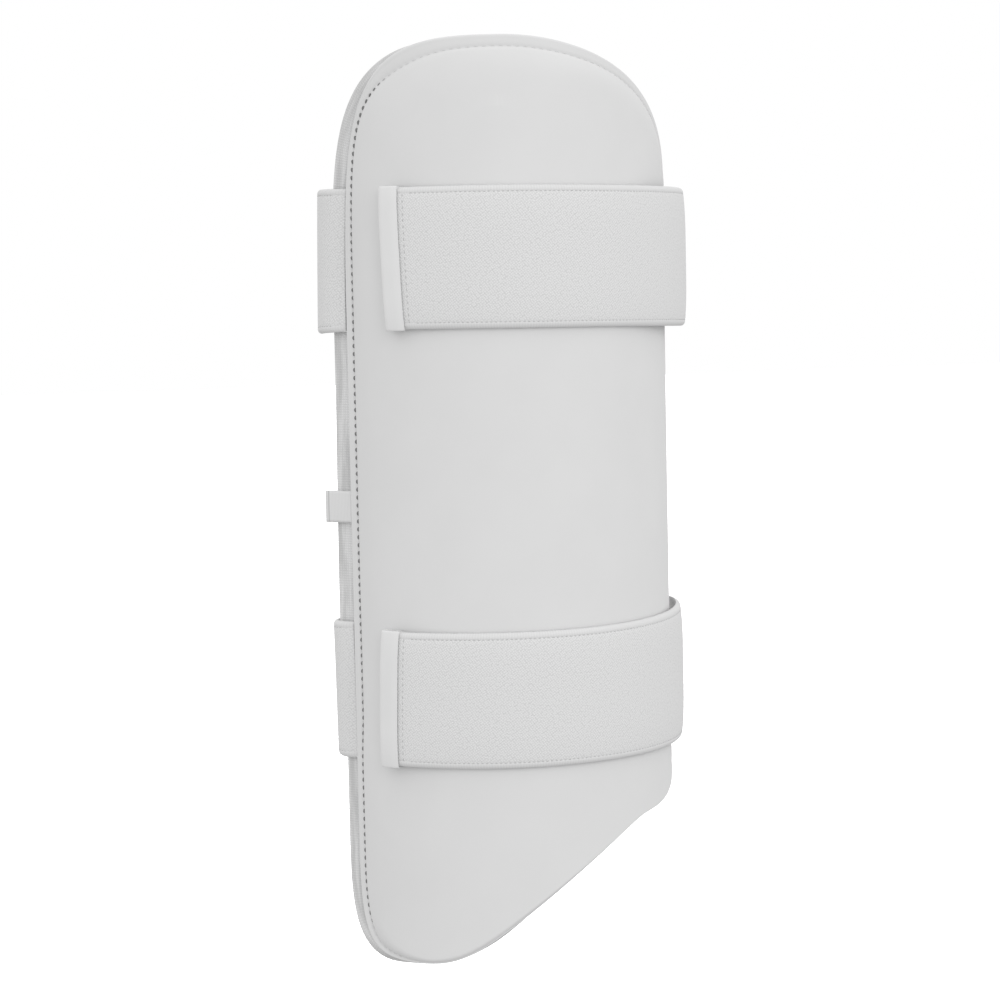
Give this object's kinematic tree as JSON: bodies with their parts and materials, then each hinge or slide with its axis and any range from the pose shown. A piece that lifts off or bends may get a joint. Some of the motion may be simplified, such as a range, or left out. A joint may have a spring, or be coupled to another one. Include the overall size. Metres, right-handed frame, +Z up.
{
  "type": "cricket thigh pad",
  "caption": "Half-pipe thigh pad: moulded white face with domed top and slanted lower edge on a mesh-covered backing, held round the thigh by wide elastic straps with pull tabs.",
  "frame": {"origin": "on the axis of the thigh that wears the pad, at half the pad's height", "axes": "+Z up along the thigh towards the domed top, -Y out of the middle of the face, +X towards the short side of the slanted lower edge"},
  "size_m": [0.1689, 0.1667, 0.4021],
  "materials": {
    "moulded_face": "matt polyurethane skin over foam",
    "mesh_backing": "polyester mesh over foam",
    "elastic": "woven elastic",
    "pull_tab": "smooth polyurethane film",
    "label": "woven satin"
  },
  "bodies": {
    "root": {"face_shell": "moulded_face", "backing_pad": "mesh_backing", "upper_strap": "elastic", "upper_strap_tab": "pull_tab", "lower_strap": "elastic", "lower_strap_tab": "pull_tab", "label_tab": "label"}
  },
  "joints": []
}
